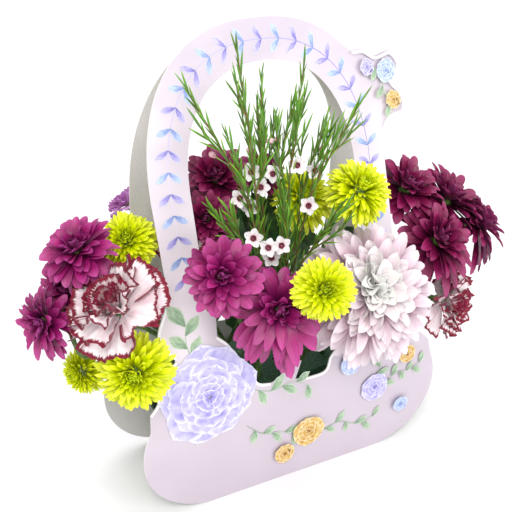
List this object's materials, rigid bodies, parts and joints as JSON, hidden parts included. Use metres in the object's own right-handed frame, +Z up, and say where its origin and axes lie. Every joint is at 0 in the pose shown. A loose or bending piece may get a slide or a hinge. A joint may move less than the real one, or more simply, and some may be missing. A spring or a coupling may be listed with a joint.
{
  "type": "flower basket arrangement",
  "caption": "Paperboard flower carrier with an arched handle on each panel, filled with chrysanthemums, carnations and waxflower standing in floral foam.",
  "frame": {"origin": "on the ground, under the middle of the base between the two panels", "axes": "+X to the right along the panels' width, -Y to the front, +Z up"},
  "size_m": [0.3909, 0.1864, 0.3368],
  "materials": {
    "board_front": "satin printed paperboard",
    "board_back": "matte grey paperboard",
    "tray": "glossy moulded plastic",
    "foam": "wet floral foam",
    "purple": "soft petals",
    "lime": "soft petals",
    "pink": "soft petals",
    "carnation": "soft petals",
    "lilac": "soft petals",
    "stem": "green stems and leaves",
    "needle": "green twigs and needles"
  },
  "bodies": {
    "root": {"back_panel": "board_back", "base_board": "board_back", "carnation_back": "lilac", "carnation_inner": "carnation", "carnation_left": "carnation", "carnation_right": "carnation", "foam_block": "foam", "foam_tray": "tray", "front_panel": "board_front", "mum_lime_front": "lime", "mum_lime_left_low": "lime", "mum_lime_left_side": "lime", "mum_lime_left_top": "lime", "mum_lime_mid": "lime", "mum_lime_right": "lime", "mum_pink_large": "pink", "mum_purple_back_left": "purple", "mum_purple_back_low": "purple", "mum_purple_back_mid": "purple", "mum_purple_front_left": "purple", "mum_purple_front_mid": "purple", "mum_purple_left_low": "purple", "mum_purple_left_mid": "purple", "mum_purple_left_top": "purple", "mum_purple_right_back": "purple", "mum_purple_right_far": "purple", "mum_purple_right_front": "purple", "mum_purple_right_top": "purple", "stem_carnation_back": "stem", "stem_carnation_inner": "stem", "stem_carnation_left": "stem", "stem_carnation_right": "stem", "stem_lime_front": "stem", "stem_lime_left": "stem", "stem_lime_left_top": "stem", "stem_lime_right": "stem", "stem_pink": "stem", "stem_purple_back": "stem", "stem_purple_front": "stem", "stem_purple_left": "stem", "stem_purple_right": "stem", "waxflower_back": "needle", "waxflower_left": "needle", "waxflower_mid": "needle", "waxflower_right": "needle"}
  },
  "joints": []
}
